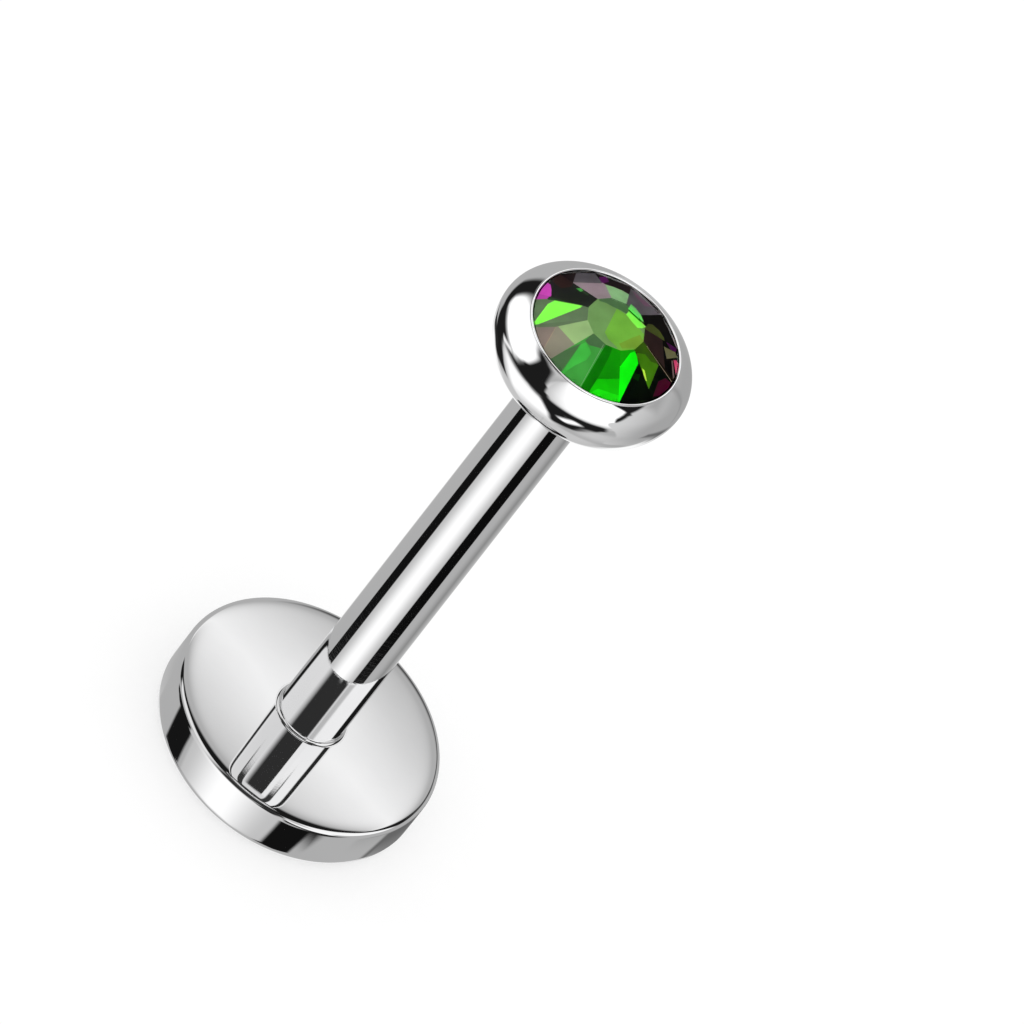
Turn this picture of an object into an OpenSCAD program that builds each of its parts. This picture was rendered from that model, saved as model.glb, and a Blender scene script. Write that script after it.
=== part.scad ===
// Push-fit labret stud: a flat disc back with its tube, a bezel cup on a plain pin, and a cut crystal.
// It stands upright on its disc. The origin is the middle of the disc's underside and +Z runs up the tube.
// The profiles below are half sections, revolved about Z: x is the radius, y the height.

/* [Tube] */
// Outside diameter of the tube that passes through the piercing
tube_d = 1.0; // [0.9:0.05:1.1]
// Wearable length, from the face of the disc to the open end of the tube
tube_len = 8.0; // [6:0.5:12]
// Diameter of the blind bore that takes the pin
bore_d = 0.62; // [0.58:0.02:0.66]
// Depth of the bore below the open end
bore_depth = 5.2; // [4.6:0.2:5.6]
// Radius that rounds the outer edge of the open end
tube_end_round = 0.04; // [0.02:0.01:0.06]
// Leg of the fillet of solder at the foot of the tube
solder_r = 0.06; // [0.03:0.01:0.1]

/* [Disc back] */
// Diameter of the disc that lies against the skin
disc_d = 4.03; // [3:0.05:5]
// Thickness of the disc
disc_t = 0.84; // [0.6:0.02:1.2]
// Radius of the small round between the face and the side wall
face_round = 0.09; // [0.04:0.01:0.14]
// Radius of the larger round between the side wall and the back
back_round = 0.24; // [0.1:0.02:0.3]

/* [Bezel cup] */
// Widest diameter of the cup
cup_d = 2.942; // [2.8:0.02:3.1]
// Height of the widest ring above the cup's underside
cup_waist = 0.71; // [0.68:0.01:0.76]
// Radius of the section below the widest ring
belly_r = 0.65; // [0.6:0.01:0.66]
// Radius of the section just above the widest ring
shoulder_r = 0.333; // [0.3:0.01:0.36]
// Angle at which the shoulder turns into the flatter slope
shoulder_end = 50; // [45:1:55]
// Radius of the flatter slope that runs up to the lip
slope_r = 0.937; // [0.9:0.01:0.95]
// Angle at which the slope meets the lip
slope_end = 66; // [64:1:68]
// Radius of the flat ring of the underside that lies over the tube's end
cup_foot_r = 0.56; // [0.52:0.01:0.6]
// Radius of the rolled bead of the lip
lip_r = 0.024; // [0.018:0.002:0.03]

/* [Push pin] */
// Diameter of the pin
pin_d = 0.46; // [0.4:0.02:0.5]
// Length of the pin below the cup
pin_len = 4.0; // [3:0.25:4.25]
// Radius that rounds the pin's tip
pin_tip_round = 0.07; // [0.03:0.01:0.1]

/* [Crystal] */
// Number of crown facets, which is also the number of pavilion facets
facets = 12; // [11:1:16]
// Diameter of the crystal round its girdle
crystal_d = 2.2; // [2.16:0.01:2.2]
// Diameter of the table across its corners
table_d = 0.86; // [0.7:0.02:1.1]
// Height of the crown above the girdle
crown_h = 0.318; // [0.24:0.01:0.4]
// Thickness of the girdle below the level at which the crown facets meet it
girdle_t = 0.06; // [0.05:0.01:0.08]
// Angle of the pavilion below the girdle
pavilion_angle = 38; // [34:1:39]
// Diameter of the small flat at the pavilion's point
culet_d = 0.16; // [0.1:0.02:0.24]
// Turn of the facets about the tube's axis
crystal_turn = 8; // [0:1:29]

/* [Hidden] */
$fn = 96;

steel = "silver";
gem = "seagreen";
// Gap between the cup's underside and the tube's end, and round the crystal in its seat
seat_gap = 0.02;
girdle_gap = 0.011;
// How far a cutting shape runs past what it cuts
over = 0.2;

tube_r = tube_d / 2;
bore_r = bore_d / 2;
disc_r = disc_d / 2;
cup_r = cup_d / 2;
pin_r = pin_d / 2;
crystal_r = crystal_d / 2;
table_r = table_d / 2;
culet_r = culet_d / 2;

tube_end_z = disc_t + tube_len;
cup_z = tube_end_z + seat_gap;

function heading(a) = [cos(a), sin(a)];

// Centres and ends of the arcs that make up the cup's outline
belly_c = [cup_r - belly_r, cup_waist];
shoulder_c = [cup_r - shoulder_r, cup_waist];
shoulder_top = shoulder_c + shoulder_r * heading(shoulder_end);
slope_c = shoulder_top - slope_r * heading(shoulder_end);
slope_top = slope_c + slope_r * heading(slope_end);
cup_foot = [cup_foot_r, 0];
foot_reach = norm(belly_c - cup_foot);
// The underside is a shallow cone that leaves the foot and touches the belly's arc here
foot_bearing = atan2(cup_foot[1] - belly_c[1], cup_foot[0] - belly_c[0]);
belly_start = foot_bearing + acos(belly_r / foot_reach);
belly_low = belly_c + belly_r * heading(belly_start);

// The crystal's girdle sits level with the middle of the lip's bead
pocket_r = crystal_r + girdle_gap;
lip_c = [pocket_r + lip_r, slope_top[1] - 0.008];
girdle_top = lip_c[1];
girdle_low = girdle_top - girdle_t;
culet_y = girdle_low - (crystal_r - culet_r) * tan(pavilion_angle);
seat_drop = seat_gap / cos(pavilion_angle);

// What a square outer corner loses when it is rounded, with the arc's centre at the origin
module corner_waste(r) {
    difference() {
        square(r + over);
        circle(r);
    }
}

// A slice of a disc between two angles, with its point at the arc's centre
module arc_slice(centre, r, from, to) {
    reach = 2 * r;
    translate(centre) intersection() {
        circle(r);
        polygon([[0, 0], reach * heading(from), reach * heading((from + to) / 2), reach * heading(to)]);
    }
}

module disc_section() {
    difference() {
        square([disc_r, disc_t]);
        translate([disc_r - face_round, disc_t - face_round]) corner_waste(face_round);
        translate([disc_r - back_round, back_round]) mirror([0, 1]) corner_waste(back_round);
    }
}

module tube_section() {
    difference() {
        translate([0, disc_t / 2]) square([tube_r, tube_len + disc_t / 2]);
        translate([tube_r - tube_end_round, tube_end_z - tube_end_round]) corner_waste(tube_end_round);
        translate([0, tube_end_z - bore_depth]) square([bore_r, bore_depth + over]);
    }
}

module solder_section() {
    difference() {
        translate([tube_r - solder_r, disc_t - solder_r]) square(2 * solder_r);
        translate([tube_r + solder_r, disc_t + solder_r]) circle(solder_r);
    }
}

module labret_post() {
    color(steel) rotate_extrude() {
        disc_section();
        tube_section();
        solder_section();
    }
}

module cup_outline() {
    polygon([[0, 0], cup_foot, belly_low, [cup_r, cup_waist], shoulder_top, slope_top, [0, slope_top[1]]]);
    arc_slice(belly_c, belly_r, belly_start, 0);
    arc_slice(shoulder_c, shoulder_r, 0, shoulder_end);
    arc_slice(slope_c, slope_r, shoulder_end, slope_end);
}

// The seat follows the crystal's back at an even gap
module seat_section() {
    polygon([
        [0, culet_y - seat_gap],
        [culet_r, culet_y - seat_gap],
        [pocket_r, girdle_low - seat_drop],
        [pocket_r, girdle_top + over],
        [0, girdle_top + over]
    ]);
}

module pin_section() {
    difference() {
        translate([0, -pin_len]) square([pin_r, pin_len + culet_y / 2]);
        translate([pin_r - pin_tip_round, pin_tip_round - pin_len]) mirror([0, 1]) corner_waste(pin_tip_round);
    }
}

module bezel_top() {
    color(steel) translate([0, 0, cup_z]) rotate_extrude() {
        difference() {
            cup_outline();
            seat_section();
        }
        translate(lip_c) circle(lip_r);
        pin_section();
    }
}

// One ring of corners at a radius and a height
function corner_ring(r, z) = [for (i = [0 : facets - 1])
    [r * cos(crystal_turn + i * 360 / facets), r * sin(crystal_turn + i * 360 / facets), z]];

// The facets run on past the girdle to these corners, so that its wall is round where it cuts them
cut_r = crystal_r / cos(180 / facets);
cut_low = girdle_low + (cut_r - crystal_r) * tan(pavilion_angle);

// Culet, outer corners of the pavilion and of the crown, and table, from the bottom up
crystal_rings = [
    corner_ring(culet_r, culet_y),
    corner_ring(cut_r, cut_low),
    corner_ring(cut_r, girdle_top),
    corner_ring(table_r, girdle_top + crown_h)
];

module crystal() {
    last = len(crystal_rings) - 1;
    points = [for (ring = crystal_rings) each ring];
    culet_face = [for (i = [0 : facets - 1]) i];
    table_face = [for (i = [facets - 1 : -1 : 0]) last * facets + i];
    side_faces = [for (k = [0 : last - 1], i = [0 : facets - 1])
        let (next = (i + 1) % facets, low = k * facets, high = low + facets)
        [low + i, high + i, high + next, low + next]];
    color(gem) translate([0, 0, cup_z]) intersection() {
        polyhedron(points, concat([culet_face], side_faces, [table_face]));
        cylinder(r = crystal_r, h = girdle_top + crown_h + over);
    }
}

labret_post();
bezel_top();
crystal();
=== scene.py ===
import math
import bmesh
import bpy
from mathutils import Matrix, Vector


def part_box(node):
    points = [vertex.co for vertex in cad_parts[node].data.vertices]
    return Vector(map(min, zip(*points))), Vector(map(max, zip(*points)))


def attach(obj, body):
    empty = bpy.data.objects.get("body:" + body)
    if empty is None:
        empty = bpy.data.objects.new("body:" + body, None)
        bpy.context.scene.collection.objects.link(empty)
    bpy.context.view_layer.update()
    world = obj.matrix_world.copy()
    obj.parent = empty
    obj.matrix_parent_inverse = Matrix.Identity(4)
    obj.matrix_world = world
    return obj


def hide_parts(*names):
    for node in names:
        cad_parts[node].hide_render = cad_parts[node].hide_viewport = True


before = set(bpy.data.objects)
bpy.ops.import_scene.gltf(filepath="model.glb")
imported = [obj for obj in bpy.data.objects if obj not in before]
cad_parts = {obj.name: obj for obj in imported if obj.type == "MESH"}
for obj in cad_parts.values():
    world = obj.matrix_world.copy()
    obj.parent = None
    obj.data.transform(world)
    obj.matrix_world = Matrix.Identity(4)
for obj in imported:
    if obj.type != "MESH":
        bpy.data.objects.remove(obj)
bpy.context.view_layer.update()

mm = 0.001  # Blender works in metres, the sections below in millimetres


def sizeOf(node):
    low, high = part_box(node)
    return {"radius": high.x / mm, "low": low.z / mm, "high": high.z / mm}


postBox = sizeOf("labret_post")
topBox = sizeOf("bezel_top")
crystalBox = sizeOf("crystal")


# Sections are half profiles: x is the radius from the tube's axis, y the height, both in mm

def arc(centre, radius, start, end, steps):
    turn = [math.radians(start + (end - start) * i / steps) for i in range(steps + 1)]
    return [(centre[0] + radius * math.cos(t), centre[1] + radius * math.sin(t)) for t in turn]


def wireFromSection(name, points):
    mesh = bpy.data.meshes.new(name)
    tidy = [points[0]]
    for p in points[1:]:
        if math.dist(p, tidy[-1]) > 1e-6:
            tidy.append(p)
    mesh.from_pydata([(r * mm, 0, z * mm) for r, z in tidy], [(i, i + 1) for i in range(len(tidy) - 1)], [])
    wire = bpy.data.objects.new(name, mesh)
    bpy.context.scene.collection.objects.link(wire)
    return wire


def socketIdentifier(tree, name):
    return next(s.identifier for s in tree.interface.items_tree if s.name == name and s.in_out == "INPUT")


# One tree spins every section: a grid of section points by turns, wrapped round the axis and sewn up
def makeSpinTree():
    tree = bpy.data.node_groups.new("spinSection", "GeometryNodeTree")
    tree.is_modifier = True
    face = tree.interface
    face.new_socket("Geometry", in_out="INPUT", socket_type="NodeSocketGeometry")
    for name, kind, value in (("Segments", "NodeSocketInt", 96), ("Start Angle", "NodeSocketFloat", 0.0),
                              ("Sew Distance", "NodeSocketFloat", 1e-8)):
        face.new_socket(name, in_out="INPUT", socket_type=kind).default_value = value
    face.new_socket("Finish", in_out="INPUT", socket_type="NodeSocketMaterial")
    face.new_socket("Geometry", in_out="OUTPUT", socket_type="NodeSocketGeometry")
    nodes, links = tree.nodes, tree.links

    def add(kind, **settings):
        node = nodes.new(kind)
        for key, value in settings.items():
            setattr(node, key, value)
        return node

    def maths(operation, a, b):
        node = add("ShaderNodeMath", operation=operation)
        for slot, value in zip(node.inputs, (a, b)):
            if isinstance(value, (int, float)):
                slot.default_value = value
            else:
                links.new(value, slot)
        return node.outputs[0]

    given = add("NodeGroupInput")
    result = add("NodeGroupOutput")
    count = add("GeometryNodeAttributeDomainSize")
    links.new(given.outputs["Geometry"], count.inputs["Geometry"])
    ringPoints = count.outputs["Point Count"]
    grid = add("GeometryNodeMeshGrid")
    links.new(maths("ADD", given.outputs["Segments"], 1), grid.inputs["Vertices X"])
    links.new(ringPoints, grid.inputs["Vertices Y"])
    index = add("GeometryNodeInputIndex").outputs[0]
    column = maths("FLOOR", maths("DIVIDE", maths("ADD", index, 0.5), ringPoints), 0)
    row = maths("SUBTRACT", index, maths("MULTIPLY", column, ringPoints))
    sample = add("GeometryNodeSampleIndex", data_type="FLOAT_VECTOR")
    links.new(given.outputs["Geometry"], sample.inputs["Geometry"])
    links.new(add("GeometryNodeInputPosition").outputs[0], sample.inputs["Value"])
    links.new(row, sample.inputs["Index"])
    turn = maths("DIVIDE", maths("MULTIPLY", column, math.tau), given.outputs["Segments"])
    spun = add("ShaderNodeVectorRotate", rotation_type="Z_AXIS")
    links.new(sample.outputs["Value"], spun.inputs["Vector"])
    links.new(maths("ADD", turn, given.outputs["Start Angle"]), spun.inputs["Angle"])
    place = add("GeometryNodeSetPosition")
    links.new(grid.outputs["Mesh"], place.inputs["Geometry"])
    links.new(spun.outputs[0], place.inputs["Position"])
    sew = add("GeometryNodeMergeByDistance")
    links.new(place.outputs[0], sew.inputs["Geometry"])
    links.new(given.outputs["Sew Distance"], sew.inputs["Distance"])
    real = add("GeometryNodeRealizeInstances")
    links.new(sew.outputs[0], real.inputs[0])
    paint = add("GeometryNodeSetMaterial")
    links.new(real.outputs[0], paint.inputs["Geometry"])
    links.new(given.outputs["Finish"], paint.inputs["Material"])
    links.new(paint.outputs[0], result.inputs[0])
    return tree


spinTree = makeSpinTree()


def spinSection(name, points, segments, finish, startAngle=0.0):
    wire = wireFromSection(name + "Section", points)
    spin = wire.modifiers.new("spin", "NODES")
    spin.node_group = spinTree
    spin[socketIdentifier(spinTree, "Segments")] = segments
    spin[socketIdentifier(spinTree, "Start Angle")] = startAngle
    spin[socketIdentifier(spinTree, "Finish")] = finish
    mesh = bpy.data.meshes.new_from_object(wire.evaluated_get(bpy.context.evaluated_depsgraph_get()))
    mesh.name = name
    mesh.materials.clear()
    mesh.materials.append(finish)
    mesh.polygons.foreach_set("material_index", [0] * len(mesh.polygons))
    bpy.data.objects.remove(wire)
    shape = bmesh.new()
    shape.from_mesh(mesh)
    bmesh.ops.recalc_face_normals(shape, faces=shape.faces)
    shape.to_mesh(mesh)
    shape.free()
    piece = bpy.data.objects.new(name, mesh)
    bpy.context.scene.collection.objects.link(piece)
    return piece


def smoothRound(piece, sharpAngle=40):
    for polygon in piece.data.polygons:
        polygon.use_smooth = True
    piece.data.set_sharp_from_angle(angle=math.radians(sharpAngle))


# Shader helpers

def newFinish(name):
    finish = bpy.data.materials.new(name)
    finish.use_nodes = True
    finish.node_tree.nodes.clear()
    return finish


class Wiring:
    def __init__(self, tree):
        self.tree = tree

    def add(self, kind, inputs=None, **settings):
        node = self.tree.nodes.new(kind)
        for key, value in settings.items():
            setattr(node, key, value)
        for key, value in (inputs or {}).items():
            if isinstance(value, bpy.types.NodeSocket):
                self.tree.links.new(value, node.inputs[key])
            else:
                node.inputs[key].default_value = value
        return node

    def maths(self, operation, a, b=0.0, c=0.0):
        return self.add("ShaderNodeMath", {0: a, 1: b, 2: c}, operation=operation).outputs[0]

    def ramp(self, factor, stops):
        node = self.add("ShaderNodeValToRGB", {"Fac": factor})
        elements = node.color_ramp.elements
        while len(elements) < len(stops):
            elements.new(0.5)
        for element, (place, colour) in zip(elements, stops):
            element.position = place
            element.color = colour
        return node.outputs["Color"]

    def mapped(self, value, fromLow, fromHigh, toLow, toHigh):
        return self.add("ShaderNodeMapRange", {"Value": value, "From Min": fromLow, "From Max": fromHigh,
                                               "To Min": toLow, "To Max": toHigh}).outputs["Result"]

    def output(self, shader):
        self.add("ShaderNodeOutputMaterial", {"Surface": shader})


steelLook = {
    "dullest": (0.90, 0.90, 0.9045, 1),
    "brightest": (0.93, 0.93, 0.93372, 1),
    "patchScale": 900.0,        # how fine the patches of polish are, per metre
    "roughness": (0.012, 0.035),
    "lineScale": 60000.0,       # polishing lines round the axis
    "lineStretch": 22.0,        # how much longer than wide they are
    "lineBump": 0.012,
    "lineDepth": 0.00001,
}


# Mirror polished steel: faint patches of buffing and hair-fine lines round the axis
def makePolishedSteel(name):
    finish = newFinish(name)
    w = Wiring(finish.node_tree)
    where = w.add("ShaderNodeTexCoord").outputs["Object"]
    patches = w.add("ShaderNodeTexNoise", {"Vector": where, "Scale": steelLook["patchScale"], "Detail": 4.0,
                                           "Roughness": 0.55}).outputs["Fac"]
    stretch = steelLook["lineStretch"]
    lineSpace = w.add("ShaderNodeVectorMath", {0: where, 1: (1.0, 1.0, stretch)},
                      operation="MULTIPLY").outputs[0]
    lines = w.add("ShaderNodeTexNoise", {"Vector": lineSpace, "Scale": steelLook["lineScale"] / stretch,
                                         "Detail": 3.0})
    tone = w.ramp(patches, [(0.3, steelLook["dullest"]), (0.7, steelLook["brightest"])])
    rough = w.mapped(patches, 0.25, 0.75, *steelLook["roughness"])
    bump = w.add("ShaderNodeBump", {"Strength": steelLook["lineBump"], "Distance": steelLook["lineDepth"],
                                    "Height": lines.outputs["Fac"]})
    shader = w.add("ShaderNodeBsdfPrincipled", {"Base Color": tone, "Metallic": 1.0, "Roughness": rough,
                                                "Normal": bump.outputs[0]})
    w.output(shader.outputs[0])
    return finish


polishedSteel = makePolishedSteel("polishedSteel")
print("steel finish made")


# Post: disc back, solder ring and tube, soldered into one and drawn as two meshes

post = {
    "segments": 192,
    "discThickness": 0.84,
    "tubeRadius": 0.5,
    "faceRound": 0.09,
    "backRound": 0.24,
    "solder": 0.06,
    "endRound": 0.04,
    "boreRadius": 0.31,
    "boreDepth": 5.2,
    "boreMouth": 0.025,
    "support": 0.006,          # rings this close to an edge keep the flats flat
    "wallBulge": 4.0,          # degrees by which the side wall leans at its top and bottom
    "edgeSlope": 7.1,          # degrees by which buffing has rounded the face at its rim
    "domeStart": 0.4,
    "domeFall": 0.022,         # how much lower the face is at its rim than at the tube
    "rollFall": 0.0052,        # how much the face rolls off at its very rim, and how suddenly
    "rollPower": 28,
    "faceRings": 36,
    "ringSpread": 1.6,         # the face's rings crowd together at its rim by this power
    "footSink": 0.03,          # how far the tube's mesh goes down into the disc
}


# The face is a little domed, and rolls off towards its rim where buffing has worn it
def faceRim():
    slope = math.radians(post["edgeSlope"])
    return (postBox["radius"] - post["faceRound"] * (1 - math.sin(slope)),
            post["discThickness"] - post["faceRound"] * (1 - math.cos(slope)))


def faceHeight(radius):
    rimRadius, rimHeight = faceRim()
    share = (radius - post["domeStart"]) / (rimRadius - post["domeStart"])
    dome = post["domeFall"] * (1 - share ** 2)
    return rimHeight + dome + post["rollFall"] * (1 - share ** post["rollPower"])


def discSection():
    discR, t = postBox["radius"], post["discThickness"]
    near, face, back, bulge = (post[k] for k in ("support", "faceRound", "backRound", "wallBulge"))
    points = [(0, 0), (discR - back - near, 0)]
    points += arc((discR - back, back), back, -90, -bulge, 20)
    points += [(discR, (t - face + back) / 2)]
    points += arc((discR - face, t - face), face, bulge, 90 - post["edgeSlope"], 18)
    rim, start, rings = faceRim()[0], post["domeStart"], post["faceRings"]
    for i in range(1, rings + 1):
        radius = rim + (start - rim) * (i / rings) ** post["ringSpread"]
        points.append((radius, faceHeight(radius)))
    points += [(0, faceHeight(start))]
    return points


def tubeSection():
    tubeR, near, top = post["tubeRadius"], post["support"], postBox["high"]
    solder, end, mouth = post["solder"], post["endRound"], post["boreMouth"]
    boreR, boreEnd = post["boreRadius"], top - post["boreDepth"]
    t = faceHeight(tubeR + solder)
    foot = t - post["footSink"]
    points = [(0, foot), (tubeR + solder - near, foot), (tubeR + solder, foot), (tubeR + solder, t)]
    points += arc((tubeR + solder, t + solder), solder, -90, -180, 12)
    points += [(tubeR, t + solder + near), (tubeR, top - end - near)]
    points += arc((tubeR - end, top - end), end, 0, 90, 12)
    points += [(tubeR - end - near, top)]
    points += arc((boreR + mouth, top - mouth), mouth, 90, 180, 8)
    points += [(boreR, top - mouth - near), (boreR, boreEnd + near), (boreR, boreEnd)]
    points += [(boreR - near, boreEnd), (0, boreEnd)]
    return points


def makePostPiece(name, section):
    piece = spinSection(name, section, post["segments"], polishedSteel)
    smoothRound(piece)
    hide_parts("labret_post")
    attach(piece, "post")
    return piece


discPiece = makePostPiece("discBack", discSection())
tubePiece = makePostPiece("tubeStem", tubeSection())
print("post made", len(discPiece.data.polygons) + len(tubePiece.data.polygons), "faces")


# Bezel cup with its rolled lip and the push pin under it

cup = {
    "segments": 192,
    "radius": 1.471,
    "waist": 0.71,
    "bellyRadius": 0.65,
    "shoulderRadius": 0.333,
    "shoulderEnd": 50.0,
    "slopeRadius": 0.937,
    "slopeEnd": 66.0,
    "footRadius": 0.56,
    "slopeTrim": 0.6,          # degrees at the slope's end that the lip's bead covers
    "lipRadius": 0.022,
    "lipDrop": 0.008,          # how far the bead's middle lies below the slope's end
    "lipStart": 8.0,
    "pocketRadius": 1.111,
    "pocketDepth": 0.075,      # of the pocket's upright wall, from the bead's middle
    "pocketPoint": 0.08,
    "gapOverTube": 0.02,
    "footDrop": 0.016,         # the real top sits right on the tube, so its flat ring comes down to it
    "pinRadius": 0.23,
    "pinTipRound": 0.07,
    "pinSink": 0.02,           # how far the pin's mesh goes up into the cup
    "support": 0.006,
}


def heading(angle):
    return Vector((math.cos(math.radians(angle)), math.sin(math.radians(angle))))


def cupSection():
    base = postBox["high"] + cup["gapOverTube"]
    near = cup["support"]
    belly = Vector((cup["radius"] - cup["bellyRadius"], cup["waist"]))
    shoulder = Vector((cup["radius"] - cup["shoulderRadius"], cup["waist"]))
    shoulderTop = shoulder + cup["shoulderRadius"] * heading(cup["shoulderEnd"])
    slope = shoulderTop - cup["slopeRadius"] * heading(cup["shoulderEnd"])
    slopeTop = slope + cup["slopeRadius"] * heading(cup["slopeEnd"])
    reach = Vector((cup["footRadius"], 0)) - belly
    bellyStart = math.degrees(math.atan2(reach.y, reach.x) + math.acos(cup["bellyRadius"] / reach.length))
    lip = Vector((cup["pocketRadius"] + cup["lipRadius"], slopeTop.y - cup["lipDrop"]))
    foot = -cup["footDrop"]
    points = [(0, foot), (cup["footRadius"] - near, foot), (cup["footRadius"], foot)]
    points += arc(belly, cup["bellyRadius"], bellyStart, 0, 40)
    points += arc(shoulder, cup["shoulderRadius"], 0, cup["shoulderEnd"], 22)
    points += arc(slope, cup["slopeRadius"], cup["shoulderEnd"], cup["slopeEnd"] - cup["slopeTrim"], 10)
    points += arc(lip, cup["lipRadius"], cup["lipStart"], 180, 14)
    seat = crystalBox["low"] - base - cup["gapOverTube"]
    wallLow = lip.y - cup["pocketDepth"]
    points += [(cup["pocketRadius"], wallLow + near), (cup["pocketRadius"], wallLow)]
    points += [(cup["pocketPoint"], seat), (0, seat)]
    return [(x, y + base) for x, y in points]


def pinSection():
    low, top = topBox["low"], postBox["high"] + cup["gapOverTube"] + cup["pinSink"]
    tip, pinR, near = cup["pinTipRound"], cup["pinRadius"], cup["support"]
    points = [(0, low), (pinR - tip - near, low)]
    points += arc((pinR - tip, low + tip), tip, -90, 0, 10)
    return points + [(pinR, top - near), (pinR, top), (pinR - near, top), (0, top)]


def makeTopPiece(name, section):
    piece = spinSection(name, section, cup["segments"], polishedSteel)
    smoothRound(piece)
    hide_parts("bezel_top")
    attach(piece, "top")
    return piece


cupPiece = makeTopPiece("bezelCup", cupSection())
pinPiece = makeTopPiece("pushPin", pinSection())
print("bezel top made", len(cupPiece.data.polygons) + len(pinPiece.data.polygons), "faces")


# The camera of the picture

view = {
    "tilt": 46.21,             # angle between the line of sight and the tube
    "lean": 38.02,             # how far the tube leans to the right in the picture
    "pixelsPerMm": 72.93,      # halfway along the stud
    "discPixel": (309.8, 716.3),
    "frame": 1024,
    "distance": 600.0,
    "halfDepth": 3.2,          # how much nearer the camera the middle of the stud is than its disc
    "sensor": 36.0,
    "clip": (0.1, 20.0),
}

# An earlier fit of it, without perspective, which the chart of the crystal's colours was drawn with
chartView = {
    "tilt": 46.17,
    "lean": 37.99,
    "pixelsPerMm": 72.885,
    "discPixel": (310.8, 715.2),
    "frame": 1024,
    "enlargement": 12,         # the chart's points lie on an enlarged part of the picture
    "cornerPixel": (528, 258),  # and count from that part's upper left corner
}


# A fit's axes as they lie in space, and the place that the middle of its picture shows, in mm
def sightFrame(fit):
    tilt, lean = math.radians(fit["tilt"]), math.radians(fit["lean"])
    back = Vector((0, -math.sin(tilt), math.cos(tilt)))
    along = Vector((0, math.cos(tilt), math.sin(tilt)))
    right = math.cos(lean) * Vector((1, 0, 0)) + math.sin(lean) * along
    up = math.cos(lean) * along - math.sin(lean) * Vector((1, 0, 0))
    middle = fit["frame"] / 2
    across = (middle - fit["discPixel"][0]) / fit["pixelsPerMm"]
    rise = (fit["discPixel"][1] - middle) / fit["pixelsPerMm"]
    return right, up, back, Vector((0, 0, post["discThickness"])) + across * right + rise * up


# Crystal: the spinning tree makes it round, then its facets are laid flat and their edges eased

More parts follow.
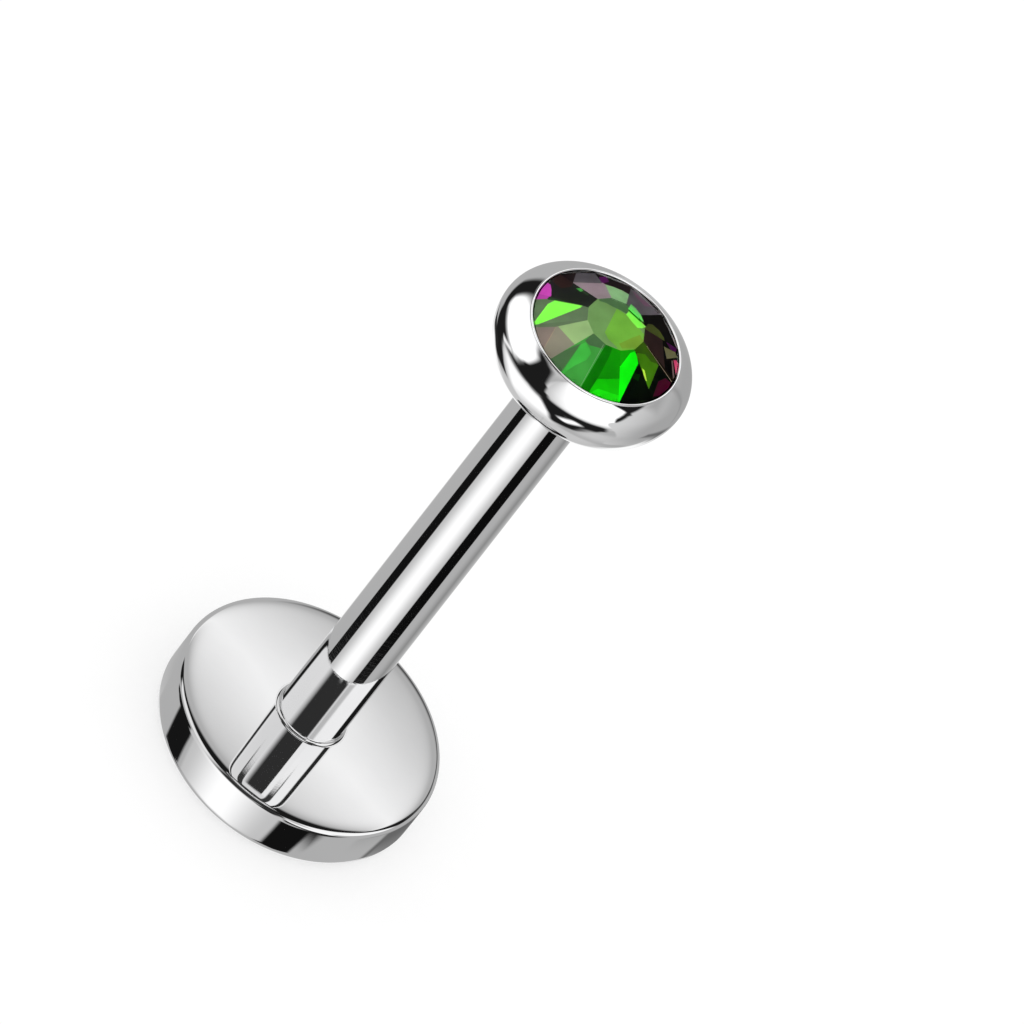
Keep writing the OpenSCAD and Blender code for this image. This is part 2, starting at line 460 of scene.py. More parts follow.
crystal = {
    "facets": 12,
    "turn": 8.0,
    "radius": 1.10,
    "tableRadius": 0.43,
    "crownHeight": 0.318,
    "girdle": 0.06,
    "culetRadius": 0.08,
    "easedEdge": 0.004,
    "index": 1.56,
    "coatDepth": (0.08, 0.014),  # how deep the colours lie under the table and under the girdle
    "coatShift": 0.5,            # refraction as the camera sees it moves them back by this share
    "coatShrink": 0.992,         # how much narrower the coat is than the cut body, under the crown
    "backShrink": 0.985,         # and at the pointed back, which also lies a little higher
    "backLift": 0.008,
    # Tints as they show through the crown, 0 to 255, set from the photo's median colour in each patch.
    # They are partly the coat's own colour and partly painted reflection: the glints, pale lines and dark
    # patches that the coated back reflects from the studio are painted into them
    "tintsAndReflections": {
        "moss": (110, 146, 88), "lime": (114, 172, 64), "khaki": (118, 154, 52), "dusk": (78, 110, 73),
        "spring": (136, 248, 84), "mint": (104, 240, 98), "willow": (153, 182, 124),
        "celadon": (130, 168, 122), "steelGreen": (96, 115, 87), "fern": (69, 160, 67),
        "leaf": (72, 190, 73), "green": (16, 145, 6),
        "bright": (20, 191, 8), "glow": (30, 222, 18), "vivid": (14, 248, 16), "forest": (11, 114, 6),
        "olive": (62, 112, 12), "oliveDark": (50, 78, 12), "flash": (190, 225, 70), "bronze": (62, 68, 26),
        "pine": (2, 46, 0), "peat": (40, 58, 38), "coal": (31, 34, 30), "night": (6, 15, 4),
        "black": (10, 6, 5),
        "wine": (30, 17, 20), "maroon": (46, 30, 29), "umber": (28, 21, 12), "burgundy": (70, 5, 36),
        "purple": (76, 12, 76), "bark": (96, 77, 78), "sand": (100, 98, 68), "rose": (100, 74, 90),
        "slate": (83, 79, 84), "lilac": (138, 121, 129), "taupe": (140, 133, 118), "clay": (136, 121, 113),
        "pale": (160, 140, 120), "magenta": (182, 68, 166), "pink": (200, 70, 110),
    },
    # How brightly the studio lights each facet, the table first
    "lit": (1.0, 0.73, 0.6, 0.53, 0.52, 0.62, 0.8, 1.05, 1.28, 1.46, 1.4, 1.2, 1.0),
    # These base tints and patches are painted reflection as well as the coat's colour: they fix glints and
    # dark patches on each facet
    # Base tint of each facet, the table first, and its patches with their corners, as points on the
    # enlarged picture. Most were picked on it. Those of "flash", of the thin slivers and a few
    # others were worked back from places on the stone
    "patches": [
        ("moss", [
            ("lime", [(1065, 610), (1180, 680), (1345, 860), (1420, 960), (1380, 1020), (1272, 1110),
                      (1110, 1115),
                      (960, 975), (920, 895)]),
            ("khaki", [(1092, 1032), (1248, 960), (1344, 924), (1380, 996), (1296, 1080), (1128, 1092)]),
            ("dusk", [(852, 516), (936, 540), (1020, 588), (1104, 624), (1188, 672), (1218, 600),
                      (1188, 546),
                      (1008, 456), (864, 468)]),
            ("mint", [(1230, 558), (1200, 612), (1363, 761), (1380, 774), (1344, 684), (1284, 606)]),
            ("spring", [(1176, 678), (1212, 638), (1356, 776), (1404, 828), (1368, 846), (1314, 840),
                        (1248, 768)]),
            ("forest", [(1209, 615), (1371, 764), (1356, 776), (1205, 635)]),
        ]),
        ("maroon", [
            ("black", [(1600, 900), (1900, 1030), (1900, 1300), (1800, 1500), (1640, 1350), (1630, 1240)]),
            ("purple", [(1650, 1000), (1740, 1010), (1790, 1090), (1770, 1128), (1700, 1092)]),
            ("sand", [(1625, 1060), (1765, 1130), (1795, 1195), (1660, 1208)]),
            ("bark", [(1718, 1230), (1737, 1230), (1755, 1430), (1737, 1450)]),
            ("pink", [(1745, 1225), (1778, 1225), (1830, 1330), (1772, 1400)]),
        ]),
        ("black", [
            ("bronze", [(1380, 850), (1430, 790), (1490, 800), (1570, 870), (1628, 960), (1640, 1040)]),
            ("mint", [(1200, 612), (1363, 761), (1380, 774), (1344, 684), (1284, 606), (1230, 558)]),
            ("spring", [(1212, 638), (1356, 776), (1404, 828), (1368, 846), (1314, 840), (1176, 678)]),
            ("bark", [(1720, 915), (1745, 920), (1800, 1070), (1775, 1075)]),
        ]),
        ("slate", [
            ("rose", [(1250, 390), (1310, 440), (1500, 590), (1400, 580), (1300, 480)]),
            ("wine", [(1220, 300), (1700, 680), (1560, 665), (1480, 570), (1290, 400), (1240, 375)]),
            ("mint", [(1230, 558), (1200, 612), (1363, 761), (1380, 774), (1344, 684), (1284, 606)]),
        ]),
        ("wine", [
            ("celadon", [(925, 322), (1020, 350), (1130, 393), (1208, 440), (1240, 560), (1190, 570),
                         (1000, 500)]),
            ("lilac", [(850, 270), (925, 322), (1005, 500), (960, 500)]),
            ("purple", [(850, 232), (945, 222), (972, 290), (905, 305), (870, 300)]),
        ]),
        ("lilac", [
            ("slate", [(578, 150), (830, 150), (850, 230), (900, 310), (540, 298)]),
            ("wine", [(340, 150), (600, 130), (578, 180), (543, 300), (525, 350), (391, 300)]),
            ("black", [(340, 180), (600, 130), (850, 150), (850, 183), (578, 183), (400, 212)]),
        ]),
        ("coal", [
            ("maroon", [(285, 275), (391, 180), (560, 280), (525, 352), (400, 368), (330, 318)]),
            ("fern", [(582, 371), (640, 370), (674, 400), (640, 412)]),
            ("peat", [(640, 410), (676, 398), (748, 452), (720, 458)]),
            ("magenta", [(90, 460), (235, 296), (272, 325), (283, 390), (281, 455), (250, 490), (90, 500)]),
        ]),
        ("steelGreen", [
            ("magenta", [(90, 430), (275, 440), (235, 494), (90, 498)]),
            ("peat", [(232, 494), (275, 440), (741, 570), (741, 600), (665, 577), (325, 512), (250, 505)]),
            ("spring", [(325, 513), (665, 577), (640, 600), (95, 812), (70, 800), (85, 760), (240, 557)]),
        ]),
        ("taupe", [
            ("clay", [(60, 801), (337, 828), (190, 1080), (60, 1000)]),
            ("pale", [(337, 827), (344, 830), (199, 1080), (192, 1076)]),
            ("willow", [(365, 822), (740, 735), (830, 900), (565, 1037)]),
            ("steelGreen", [(60, 780), (740, 700), (740, 742), (365, 821), (335, 829), (60, 835)]),
        ]),
        ("fern", [
            ("dusk", [(230, 1250), (300, 1180), (645, 1018), (400, 1366), (330, 1330)]),
            ("dusk", [(690, 990), (797, 880), (960, 1020), (900, 1085), (820, 1062), (740, 1042)]),
            ("leaf", [(640, 1032), (700, 1008), (745, 1090), (762, 1140), (705, 1222), (560, 1292),
                      (430, 1385),
                      (390, 1400)]),
            ("celadon", [(912, 1032), (917, 1034), (632, 1540), (628, 1538)]),
        ]),
        ("green", [
            ("forest", [(939, 1000), (1012, 1080), (975, 1180), (860, 1400), (722, 1625), (600, 1600)]),
            ("bright", [(832, 1452), (1100, 1446), (1100, 1740), (900, 1740), (715, 1630)]),
            ("glow", [(840, 1570), (1100, 1655), (1060, 1762), (900, 1740), (715, 1630)]),
        ]),
        ("night", [
            ("pine", [(1262, 1375), (1345, 1395), (1322, 1475), (1252, 1432)]),
            ("green", [(1090, 1070), (1290, 1070), (1287, 1112), (1225, 1130), (1102, 1297), (1085, 1400)]),
            ("vivid", [(1225, 1128), (1290, 1106), (1320, 1256), (1090, 1740), (1040, 1740), (1082, 1500),
                       (1102, 1295)]),
        ]),
        ("night", [
            ("umber", [(1372, 960), (1800, 1460), (1760, 1520), (1560, 1275)]),
            ("burgundy", [(1560, 1480), (1650, 1438), (1714, 1500), (1640, 1640), (1495, 1665)]),
            ("olive", [(1290, 1120), (1400, 1150), (1562, 1282), (1425, 1625), (1350, 1370), (1320, 1290)]),
            ("oliveDark", [(1270, 1080), (1372, 980), (1562, 1272), (1470, 1240), (1400, 1150),
                           (1290, 1130)]),
            ("flash", [(1360, 1317), (1393, 1346), (1422, 1478), (1403, 1460)]),
            ("pale", [(1378, 996), (1382, 998), (1727, 1487), (1724, 1491)]),
        ]),
    ],
}


def spread(x, y):
    step = math.tau / crystal["facets"]
    return (math.atan2(y, x) - math.radians(crystal["turn"])) % step - step / 2


# A round body with flat facets: the facets run on past the girdle and the round girdle cuts them
def makeCutBody(name, finish):
    low, high, wide = crystalBox["low"], crystalBox["high"], crystal["radius"]
    girdleTop = high - crystal["crownHeight"]
    girdleLow = girdleTop - crystal["girdle"]
    table, culet = crystal["tableRadius"], crystal["culetRadius"]
    section = [(0, low), (culet, low), (wide, girdleLow), (wide, girdleTop), (table, high), (0, high)]
    piece = spinSection(name, section, crystal["facets"] * 10, finish, math.radians(crystal["turn"]))
    half = math.pi / crystal["facets"]
    corner = wide / math.cos(half)
    crownSlope = (high - girdleTop) / (corner - table)
    backSlope = (girdleLow - low) / (wide - culet)
    for vertex in piece.data.vertices:
        x, y, z = vertex.co / mm
        radius = math.hypot(x, y)
        if radius < 0.01:
            continue
        flat = math.cos(spread(x, y)) / math.cos(half)
        if radius < (wide + table) / 2:
            vertex.co = Vector((x / flat, y / flat, z)) * mm
        elif z > (girdleLow + girdleTop) / 2:
            vertex.co.z = (girdleTop + (corner - wide * flat) * crownSlope) * mm
        else:
            vertex.co.z = (girdleLow - (wide - wide * flat) * backSlope) * mm
    return piece


# The plane of the table, number 0, or of a crown facet: its normal and its distance from the origin
def facetPlane(number):
    high, crown, wide = crystalBox["high"], crystal["crownHeight"], crystal["radius"]
    if number == 0:
        return Vector((0, 0, 1)), high
    step = math.tau / crystal["facets"]
    turn = math.radians(crystal["turn"]) + (number - 0.5) * step
    outward = Vector((math.cos(turn), math.sin(turn), 0))
    run = wide - crystal["tableRadius"] * math.cos(step / 2)
    normal = (outward * crown + Vector((0, 0, run))).normalized()
    return normal, normal.dot(outward * wide + Vector((0, 0, high - crown)))


# Where the line of sight through a point of the chart meets a facet, as x and y in mm
def onFacet(number, pick):
    right, up, back, aim = sightFrame(chartView)
    pixel = [c + p / chartView["enlargement"] for c, p in zip(chartView["cornerPixel"], pick)]
    across = (pixel[0] - chartView["frame"] / 2) / chartView["pixelsPerMm"]
    rise = (chartView["frame"] / 2 - pixel[1]) / chartView["pixelsPerMm"]
    start = aim + across * right + rise * up
    normal, level = facetPlane(number)
    place = start + (level - normal.dot(start)) / normal.dot(back) * back
    return place.x, place.y


def inPatch(x, y, corners):
    inside = False
    for (ax, ay), (bx, by) in zip(corners, corners[1:] + corners[:1]):
        if (ay > y) != (by > y) and x < ax + (y - ay) * (bx - ax) / (by - ay):
            inside = not inside
    return inside


# A colour picker's 0 to 255 as a share of light
def linear(part):
    share = part / 255
    return share / 12.92 if share < 0.04 else ((share + 0.055) / 1.055) ** 2.4


def makeGlass(name):
    finish = newFinish(name)
    w = Wiring(finish.node_tree)
    where = w.add("ShaderNodeTexCoord").outputs["Object"]
    haze = w.add("ShaderNodeTexNoise", {"Vector": where, "Scale": 2500.0, "Detail": 3.0}).outputs["Fac"]
    rough = w.mapped(haze, 0.3, 0.7, 0.0, 0.004)
    tone = w.ramp(haze, [(0.3, (0.97, 1.0, 0.97, 1)), (0.7, (1, 1, 1, 1))])
    shader = w.add("ShaderNodeBsdfPrincipled", {"Base Color": tone, "Roughness": rough,
                                                "IOR": crystal["index"], "Transmission Weight": 1.0})
    w.output(shader.outputs[0])
    return finish


def makeCoating(name):
    finish = newFinish(name)
    w = Wiring(finish.node_tree)
    # The coat's colour with its reflections painted in, one colour per face
    tintAndReflection = w.add("ShaderNodeAttribute", attribute_name="coatTintAndReflection").outputs["Color"]
    where = w.add("ShaderNodeTexCoord").outputs["Object"]
    cloud = w.add("ShaderNodeTexNoise", {"Vector": where, "Scale": 2600.0, "Detail": 2.0}).outputs["Fac"]
    light = w.mapped(cloud, 0.3, 0.7, 0.86, 1.12)
    shade = w.add("ShaderNodeVectorMath", {0: tintAndReflection, 1: light}, operation="MULTIPLY").outputs[0]
    shader = w.add("ShaderNodeBsdfPrincipled", {"Base Color": shade, "Roughness": 0.5,
                                                "Specular IOR Level": 0.0})
    w.output(shader.outputs[0])
    return finish


def makeCrystal():
    piece = makeCutBody("crystalCut", makeGlass("cutGlass"))
    shape = bmesh.new()
    shape.from_mesh(piece.data)
    bmesh.ops.dissolve_limit(shape, angle_limit=0.004, verts=shape.verts, edges=shape.edges)
    crownLow = (crystalBox["high"] - crystal["crownHeight"] / 2) * mm
    edges = [e for e in shape.edges if (e.verts[0].co.z + e.verts[1].co.z) / 2 > crownLow
             and e.calc_face_angle(0) > 0.05]
    bmesh.ops.bevel(shape, geom=edges, offset=crystal["easedEdge"] * mm, offset_type="OFFSET", segments=2,
                    profile=0.5, affect="EDGES", clamp_overlap=True)
    bmesh.ops.recalc_face_normals(shape, faces=shape.faces)
    shape.to_mesh(piece.data)
    shape.free()
    return piece


# The coated back, drawn up under the crown: each crown facet carries the patches that it shows, the coat's
# colour with its reflections painted on as fixed patches
def makeCoat():
    piece = makeCutBody("crystalCoat", makeCoating("coatWithPaintedReflections"))
    shape = bmesh.new()
    shape.from_mesh(piece.data)
    bmesh.ops.dissolve_limit(shape, angle_limit=0.004, verts=shape.verts, edges=shape.edges)
    tag = shape.faces.layers.int.new("facet")
    tintAndReflection = shape.loops.layers.float_color.new("coatTintAndReflection")
    step = math.tau / crystal["facets"]
    for face in shape.faces:
        middle = face.calc_center_median()
        if face.normal.z > 0.999:
            face[tag] = 1
        elif face.normal.z > 0.3:
            turned = (math.atan2(middle.y, middle.x) - math.radians(crystal["turn"])) % math.tau
            face[tag] = 2 + int(turned // step)
    charts = [(base, [(tintName, [onFacet(number, pick) for pick in picks]) for tintName, picks in patches])
              for number, (base, patches) in enumerate(crystal["patches"])]
    for number, (base, patches) in enumerate(charts, 1):
        for tintName, corners in patches:
            for (ax, ay), (bx, by) in zip(corners, corners[1:] + corners[:1]):
                faces = [f for f in shape.faces if f[tag] == number]
                edges = {e for f in faces for e in f.edges}
                verts = {v for f in faces for v in f.verts}
                bisector = Vector((by - ay, ax - bx, 0)).normalized()
                bmesh.ops.bisect_plane(shape, geom=faces + list(edges) + list(verts), dist=1e-10,
                                       plane_co=(ax * mm, ay * mm, 0), plane_no=bisector)
    for face in shape.faces:
        name, lit = "night", 1.0
        if face[tag]:
            lit = crystal["lit"][face[tag] - 1]
            name, patches = charts[face[tag] - 1]
            middle = face.calc_center_median() / mm
            for tintName, corners in patches:
                if inPatch(middle.x, middle.y, corners):
                    name = tintName
        # The tint holds painted reflection as well as the coat's colour, divided by how brightly its facet
        # is lit so that it shows as charted
        for loop in face.loops:
            loop[tintAndReflection] = (*[min(1.0, linear(part) / lit) for part in crystal["tintsAndReflections"][name]], 1)
    high = crystalBox["high"]
    deep, shallow = crystal["coatDepth"]
    for vertex in shape.verts:
        x, y, z = vertex.co / mm
        if z > high - crystal["crownHeight"] - 0.001:
            share = min(1.0, (high - z) / crystal["crownHeight"])
            depth = deep + (shallow - deep) * share
            shrink = crystal["coatShrink"]
            vertex.co = Vector((x * shrink, y * shrink + depth * crystal["coatShift"], z - depth)) * mm
        else:
            shrink = crystal["backShrink"]
            vertex.co = Vector((x * shrink, y * shrink, z + crystal["backLift"])) * mm
    bmesh.ops.recalc_face_normals(shape, faces=shape.faces)
    shape.to_mesh(piece.data)
    shape.free()
    return piece


crystalPiece = makeCrystal()
coatPiece = makeCoat()
for gem in (crystalPiece, coatPiece):
    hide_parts("crystal")
    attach(gem, "top")
print("crystal made", len(crystalPiece.data.polygons), "faces, coat", len(coatPiece.data.polygons))


# Stage: camera, floor, soft boxes and sky

def makeCamera():
    right, up, back, aim = sightFrame(view)
    data = bpy.data.cameras.new("photoCamera")
    data.sensor_width = view["sensor"]
    data.lens = view["pixelsPerMm"] * view["distance"] * view["sensor"] / view["frame"]
    data.clip_start, data.clip_end = view["clip"]
    camera = bpy.data.objects.new("photoCamera", data)
    spin = Matrix((right, up, back)).transposed().to_4x4()
    eye = aim + (view["distance"] + view["halfDepth"]) * back
    camera.matrix_world = Matrix.Translation(eye * mm) @ spin
    bpy.context.scene.collection.objects.link(camera)
    bpy.context.scene.camera = camera


makeCamera()

paper = {
    "half": 0.4,
    "darker": (0.385, 0.385, 0.385, 1),
    "paler": (0.395, 0.395, 0.395, 1),
    "glow": 0.62,
}


def makeFloor():
    mesh = bpy.data.meshes.new("paleFloor")
    half = paper["half"]
    corners = [(-half, -half, 0), (half, -half, 0), (half, half, 0), (-half, half, 0)]
    mesh.from_pydata(corners, [], [(0, 1, 2, 3)])
    floor = bpy.data.objects.new("paleFloor", mesh)
    bpy.context.scene.collection.objects.link(floor)
    finish = newFinish("palePaper")
    w = Wiring(finish.node_tree)
    where = w.add("ShaderNodeTexCoord").outputs["Object"]
    fibre = w.add("ShaderNodeTexNoise", {"Vector": where, "Scale": 600.0, "Detail": 3.0}).outputs["Fac"]
    tone = w.ramp(fibre, [(0.3, paper["darker"]), (0.7, paper["paler"])])
    shader = w.add("ShaderNodeBsdfPrincipled", {"Base Color": tone, "Roughness": 0.9,
                                                "Specular IOR Level": 0.0, "Emission Color": (1, 1, 1, 1),
                                                "Emission Strength": paper["glow"]})
    w.output(shader.outputs[0])
    mesh.materials.append(finish)
    floor.visible_glossy = False       # polished metal shows the studio and not the sheet it stands on
    floor.visible_transmission = False


makeFloor()

# The disc, the tube with the pin, the cup and the stone each have lighting domes of their own, so that soft
# boxes and dark flags can be set for each alone. The cut body has one for its sheen, and shares one with the
# coat for the light through it. A card is a soft-edged patch of a dome: "at" is its bearing and height in
# degrees, seen from the stud, with bearing 0 on the camera's side and 90 to the right. "size" is its width
# and height, "turn" leans it to the left, "corner" rounds it, "edge" is how far it fades, "glow" its light.
# Later cards lie over earlier ones.

# Radii in metres, and the height of their middle, halfway up the stud
domeReach = {"tubeDome": 0.30, "discDome": 0.32, "topDome": 0.34, "stoneDome": 0.36, "sheenDome": 0.38}
domeMiddle = 0.005

tubeDome = {
    "ground": 0.455,
    "cards": [
        {"at": (120, -40), "size": (20, 110), "edge": 44, "glow": 0.24},
        {"at": (-65.5, 16.5), "size": (30, 123.4), "edge": 1.6, "glow": 0.006},
        {"at": (57.7, 16.5), "size": (32.5, 123.4), "edge": 1.6, "glow": 0.004},
        {"at": (-5.5, -40), "size": (90, 130), "edge": 4, "glow": 0.57},
        {"at": (-4, -40), "size": (46, 130), "edge": 46, "glow": 1.15},
        {"at": (180, -44), "size": (24, 60), "edge": 40, "glow": 1.08},
        {"at": (0, 60), "size": (360, 76), "edge": 4, "glow": 0.86},
        {"at": (-78, 60), "size": (80, 80), "edge": 14, "glow": 0.78},
        {"at": (80, 60), "size": (70, 80), "edge": 14, "glow": 0.98},
        {"at": (132, 50), "size": (30, 70), "edge": 7, "glow": 0.02},
        {"at": (-136, 50), "size": (20, 70), "edge": 7, "glow": 0.03},
        {"at": (-71, 46.3), "size": (5, 1.4), "edge": 1.2, "glow": 0.1},
        {"at": (71, 46.3), "size": (5, 1.4), "edge": 1.2, "glow": 0.1},
        {"at": (0, 53), "size": (153, 13), "corner": 6, "edge": 1.4, "glow": 0.04},
        {"at": (0, 47.5), "size": (98, 14), "corner": 6, "edge": 1.6, "glow": 0.82},
        {"at": (41, 44), "size": (20, 18), "corner": 4, "edge": 8, "glow": 0.95},
        {"at": (-13, 40), "size": (46, 60), "edge": 26, "glow": 0.03},
        {"at": (3.5, 38), "size": (59, 30), "edge": 1.4, "glow": 0.03},
        {"at": (0, 51.9), "size": (97, 5.4), "corner": 2.6, "edge": 1.6, "glow": 0.78},
        {"at": (0, 66), "size": (360, 17), "edge": 2, "glow": 0.04},
    ],
}

discDome = {
    "ground": 0.45,
    "cards": [
        {"at": (0, 78), "size": (360, 32), "edge": 4, "glow": 0.01},
        {"at": (180, 72), "size": (140, 40), "edge": 4, "glow": 0.01},
        {"at": (0, 88), "size": (360, 12), "edge": 6, "glow": 0.7},
        {"at": (-77, -4), "size": (34, 28), "turn": 4, "corner": 3, "edge": 4, "glow": 0.008},
        {"at": (-78, -30), "size": (26, 42), "turn": -4, "edge": 4, "glow": 0.008},
        {"at": (-80, -50), "size": (15, 30), "turn": -30, "edge": 4, "glow": 0.008},
        {"at": (78, 34), "size": (142, 88), "corner": 40, "edge": 6, "glow": 0.01},
        {"at": (75, 32), "size": (88, 58), "corner": 28, "edge": 8, "glow": 1.05},
        {"at": (130, -36), "size": (126, 112), "edge": 6, "glow": 0.45},
        {"at": (-15.5, -7), "size": (91, 134), "edge": 4, "glow": 0.57},
        {"at": (-17, -7), "size": (44, 134), "edge": 44, "glow": 1.14},
        {"at": (20, 32), "size": (15, 50), "turn": -16, "corner": 5, "edge": 6, "glow": 0.02},
        {"at": (57, -20), "size": (26, 44), "turn": -14, "edge": 10, "glow": 0.02},
        {"at": (44.5, -50), "size": (25, 34), "turn": 6, "edge": 4, "glow": 0.006},
        {"at": (134, 36), "size": (34, 34), "corner": 4, "edge": 6, "glow": 0.01},
        {"at": (126, -34), "size": (50, 10), "edge": 16, "glow": 0.28},
        {"at": (150, -44), "size": (48, 12), "edge": 7, "glow": 0.14},
        {"at": (160, 29), "size": (50, 12), "edge": 5, "glow": 0.08},
        {"at": (180, -60), "size": (90, 18), "edge": 16, "glow": 1.0},
        {"at": (180, -44), "size": (10, 30), "edge": 16, "glow": 0.8},
        {"at": (180, 44), "size": (74, 3), "turn": -15, "edge": 8, "glow": 1.12},
        {"at": (-80, 45), "size": (80, 30), "edge": 10, "glow": 0.82},
        {"at": (-122, 39), "size": (52, 11), "turn": -34, "edge": 4, "glow": 0.01},
        {"at": (79, 45), "size": (72, 26), "edge": 8, "glow": 1.0},
        {"at": (46, 45), "size": (18, 26), "edge": 10, "glow": 0.56},
        {"at": (-13, 45), "size": (46, 56), "edge": 26, "glow": 0.03},
        {"at": (3.5, 50), "size": (61, 30), "edge": 9, "glow": 0.03},
    ],
}

topDome = {
    "ground": 0.46,
    "cards": [
        {"at": (180, -78), "size": (360, 30), "edge": 8, "glow": 0.60},
        {"at": (-160, -54), "size": (70, 17), "edge": 12, "glow": 1.05},
        {"at": (-40, 87), "size": (150, 23), "edge": 16, "glow": 0.62},
        {"at": (50, 47), "size": (148, 78), "corner": 16, "edge": 8, "glow": 1.2},
        {"at": (-14, 44), "size": (20, 90), "turn": 14, "edge": 54, "glow": 0.45},
        {"at": (22, 12), "size": (90, 16), "edge": 24, "glow": 0.45},
        {"at": (99.5, 2), "size": (40, 100), "turn": 12, "corner": 12, "edge": 3, "glow": 0.012},
        {"at": (139, -0.5), "size": (88, 100), "turn": -8, "corner": 4, "edge": 3, "glow": 0.012},
        {"at": (-66, 30), "size": (96, 90), "turn": 4, "corner": 40, "edge": 8, "glow": 0.012},
        {"at": (-24, 22), "size": (22, 64), "turn": 10, "corner": 9, "edge": 6, "glow": 0.012},
        {"at": (-13, 14), "size": (13, 26), "turn": 15, "corner": 4, "edge": 8, "glow": 0.012},
        {"at": (-99.5, -27), "size": (39, 62), "corner": 8, "edge": 7, "glow": 0.012},
        {"at": (-97, -53), "size": (34, 12), "turn": -14, "corner": 5, "edge": 7, "glow": 0.012},
        {"at": (-122, -45.5), "size": (40, 8), "turn": -6, "edge": 5, "glow": 0.02},
        {"at": (-93, 38), "size": (74, 52), "corner": 21, "edge": 8, "glow": 1.2},
        {"at": (-88, 19.5), "size": (58, 24), "corner": 6, "edge": 22, "glow": 1.2},
        {"at": (-121, 54), "size": (50, 7), "turn": 41, "edge": 8, "glow": 0.2},
        {"at": (-130.5, 11), "size": (17, 62), "turn": 34, "corner": 5, "edge": 7, "glow": 0.012},
        {"at": (-29, -37.5), "size": (86, 53), "turn": 8, "corner": 10, "edge": 30, "glow": 1.15},
        {"at": (-75, -5), "size": (7, 26), "turn": -41, "corner": 3, "edge": 7, "glow": 1.0},
        {"at": (22, 3.5), "size": (70, 18), "corner": 4, "edge": 7, "glow": 0.012},
        {"at": (22, 6), "size": (64, 18), "corner": 4, "edge": 14, "glow": 0.012},
        {"at": (9.5, -25.5), "size": (29, 63), "turn": 21, "corner": 8, "edge": 9, "glow": 0.012},
        {"at": (30.5, -18.5), "size": (35, 59), "turn": -18, "corner": 10, "edge": 6, "glow": 0.012},
        {"at": (92.5, -4.2), "size": (50, 100), "turn": 12, "corner": 14, "edge": 3, "glow": 0.68},
        {"at": (139, -5.5), "size": (92, 100), "turn": -8, "corner": 4, "edge": 3, "glow": 0.68},
        {"at": (64, -36), "size": (44, 34), "corner": 8, "edge": 20, "glow": 0.60},
        {"at": (128, -12), "size": (108, 92), "corner": 44, "edge": 48, "glow": 0.40},
        {"at": (136, 38), "size": (34, 14), "edge": 14, "glow": 0.40},
        {"at": (121, 66), "size": (40, 38), "turn": -8, "corner": 3, "edge": 4, "glow": 0.012},
        {"at": (180, 50), "size": (62, 40), "corner": 16, "edge": 10, "glow": 1.15},
        {"at": (160, -55), "size": (66, 16), "edge": 12, "glow": 1.05},
        {"at": (122, -33), "size": (46, 9), "turn": -26, "edge": 9, "glow": 0.14},
        {"at": (137, 2), "size": (3, 50), "turn": -17, "edge": 6, "glow": 0.32},
        {"at": (22, -20), "size": (12, 30), "turn": -30, "corner": 5, "edge": 10, "glow": 1.2},
    ],
}

stoneDome = {
    "ground": 0.02,
    "cards": [
        {"at": (0, 20), "size": (170, 110), "corner": 40, "edge": 30, "glow": 6.0},
    ],
}

sheenDome = {
    "ground": 0.02,
    "cards": [
        {"at": (0, 8), "size": (200, 66), "corner": 30, "edge": 24, "glow": 0.9},
    ],
}


# Lays one card over the light level below it
def makeCardGroup():
    tree = bpy.data.node_groups.new("softCard", "ShaderNodeTree")
    for name, kind in (("Below", "Float"), ("Bearing", "Float"), ("Height", "Float"), ("At", "Vector"),
                       ("Half", "Vector"), ("Turn", "Float"), ("Corner", "Float"), ("Edge", "Float"),
                       ("Glow", "Float")):
        tree.interface.new_socket(name, in_out="INPUT", socket_type="NodeSocket" + kind)
    tree.interface.new_socket("Level", in_out="OUTPUT", socket_type="NodeSocketFloat")
    w = Wiring(tree)
    given = w.add("NodeGroupInput").outputs
    at = w.add("ShaderNodeSeparateXYZ", {0: given["At"]}).outputs
    across = w.maths("WRAP", w.maths("SUBTRACT", given["Bearing"], at["X"]), 180.0, -180.0)
    rise = w.maths("SUBTRACT", given["Height"], at["Y"])
    flat = w.add("ShaderNodeCombineXYZ", {"X": across, "Y": rise}).outputs[0]
    lean = w.maths("MULTIPLY", given["Turn"], -math.pi / 180)
    leant = w.add("ShaderNodeVectorRotate", {"Vector": flat, "Angle": lean},
                  rotation_type="Z_AXIS").outputs[0]
    mirrored = w.add("ShaderNodeVectorMath", {0: leant}, operation="ABSOLUTE").outputs[0]
    past = w.add("ShaderNodeVectorMath", {0: mirrored, 1: given["Half"]}, operation="SUBTRACT").outputs[0]
    beyond = w.add("ShaderNodeSeparateXYZ", {0: past}).outputs
    pastX = w.maths("ADD", beyond["X"], given["Corner"])
    pastY = w.maths("ADD", beyond["Y"], given["Corner"])
    overX = w.maths("MAXIMUM", pastX, 0.0)
    overY = w.maths("MAXIMUM", pastY, 0.0)
    over = w.add("ShaderNodeCombineXYZ", {"X": overX, "Y": overY}).outputs[0]
    outside = w.add("ShaderNodeVectorMath", {0: over}, operation="LENGTH").outputs["Value"]
    inside = w.maths("MINIMUM", w.maths("MAXIMUM", pastX, pastY), 0.0)
    distance = w.maths("SUBTRACT", w.maths("ADD", outside, inside), given["Corner"])
    reach = w.maths("MULTIPLY", given["Edge"], 0.5)
    share = w.add("ShaderNodeMapRange", {"Value": distance, "From Min": reach,
                                         "From Max": w.maths("MULTIPLY", reach, -1.0)},
                  interpolation_type="SMOOTHSTEP").outputs["Result"]
    level = w.add("ShaderNodeMix", {"Factor": share, 2: given["Below"], 3: given["Glow"]}).outputs[0]
    w.add("NodeGroupOutput", {"Level": level})
    return tree


cardGroup = makeCardGroup()


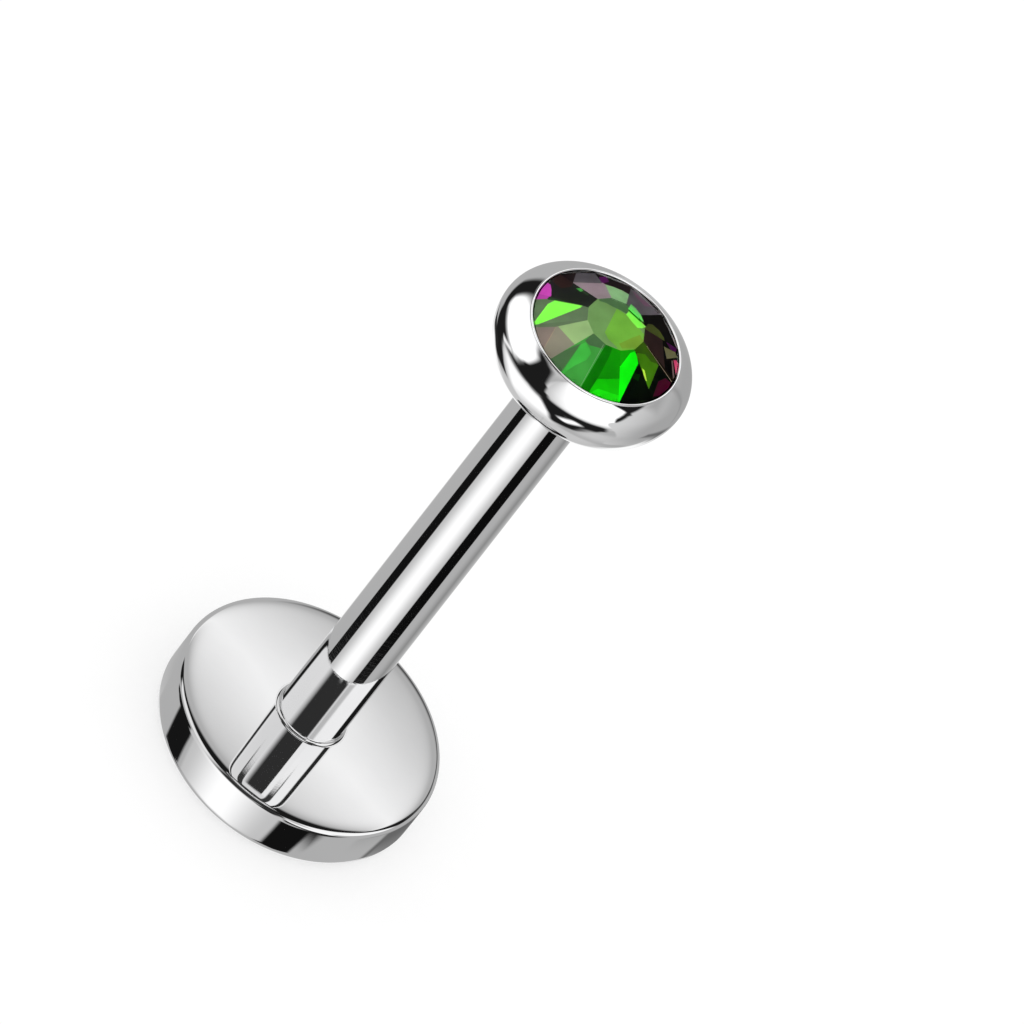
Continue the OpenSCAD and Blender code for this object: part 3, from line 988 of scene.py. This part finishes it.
# A glowing shell that only its receivers see, in their sheen, through the glass, or both
def makeDome(name, dome, receivers, sheen=True, through=True):
    finish = newFinish(name + "Light")
    w = Wiring(finish.node_tree)
    where = w.add("ShaderNodeTexCoord").outputs["Object"]
    ray = w.add("ShaderNodeVectorMath", {0: where}, operation="NORMALIZE").outputs[0]
    axis = w.add("ShaderNodeSeparateXYZ", {0: ray}).outputs
    turned = w.maths("ARCTAN2", axis["X"], w.maths("MULTIPLY", axis["Y"], -1.0))
    bearing = w.maths("MULTIPLY", turned, 180 / math.pi)
    height = w.maths("MULTIPLY", w.maths("ARCSINE", axis["Z"]), 180 / math.pi)
    level = dome["ground"]
    for card in dome["cards"]:
        width, rise = card["size"]
        values = {"Below": level, "Bearing": bearing, "Height": height, "At": (*card["at"], 0),
                  "Half": (width / 2, rise / 2, 0), "Turn": card.get("turn", 0),
                  "Corner": card.get("corner", 0.01), "Edge": card["edge"], "Glow": card["glow"]}
        level = w.add("ShaderNodeGroup", values, node_tree=cardGroup).outputs["Level"]
    glow = w.add("ShaderNodeEmission", {"Strength": level}).outputs[0]
    clear = w.add("ShaderNodeBsdfTransparent").outputs[0]
    w.output(w.add("ShaderNodeAddShader", {0: clear, 1: glow}).outputs[0])
    finish.cycles.emission_sampling = "NONE"
    mesh = bpy.data.meshes.new(name)
    shape = bmesh.new()
    bmesh.ops.create_icosphere(shape, subdivisions=4, radius=domeReach[name])
    shape.to_mesh(mesh)
    shape.free()
    mesh.materials.append(finish)
    shell = bpy.data.objects.new(name, mesh)
    shell.location = (0, 0, domeMiddle)
    bpy.context.scene.collection.objects.link(shell)
    shell.visible_camera = False
    shell.visible_diffuse = False
    shell.visible_shadow = False
    shell.visible_glossy = sheen
    shell.visible_transmission = through
    lit = bpy.data.collections.new(name + "Lit")
    for piece in receivers:
        lit.objects.link(piece)
    shell.light_linking.receiver_collection = lit


makeDome("tubeDome", tubeDome, [tubePiece, pinPiece])
makeDome("discDome", discDome, [discPiece])
makeDome("topDome", topDome, [cupPiece])
makeDome("stoneDome", stoneDome, [crystalPiece, coatPiece], sheen=False)
makeDome("sheenDome", sheenDome, [crystalPiece], through=False)


sky = {"glow": 1.06}  # lights the floor, and stays out of every reflection


def makeSky():
    world = bpy.data.worlds.new("studio")
    bpy.context.scene.world = world
    world.use_nodes = True
    world.node_tree.nodes.clear()
    w = Wiring(world.node_tree)
    glow = w.add("ShaderNodeBackground", {"Color": (1, 1, 1, 1), "Strength": sky["glow"]})
    w.add("ShaderNodeOutputWorld", {"Surface": glow.outputs[0]})
    world.cycles_visibility.glossy = False
    world.cycles_visibility.transmission = False


makeSky()
scene = bpy.context.scene
scene.view_settings.view_transform = "Standard"
scene.view_settings.look = "None"
scene.cycles.glossy_bounces = 10
scene.cycles.transmission_bounces = 12
scene.cycles.max_bounces = 16
print("stage made")
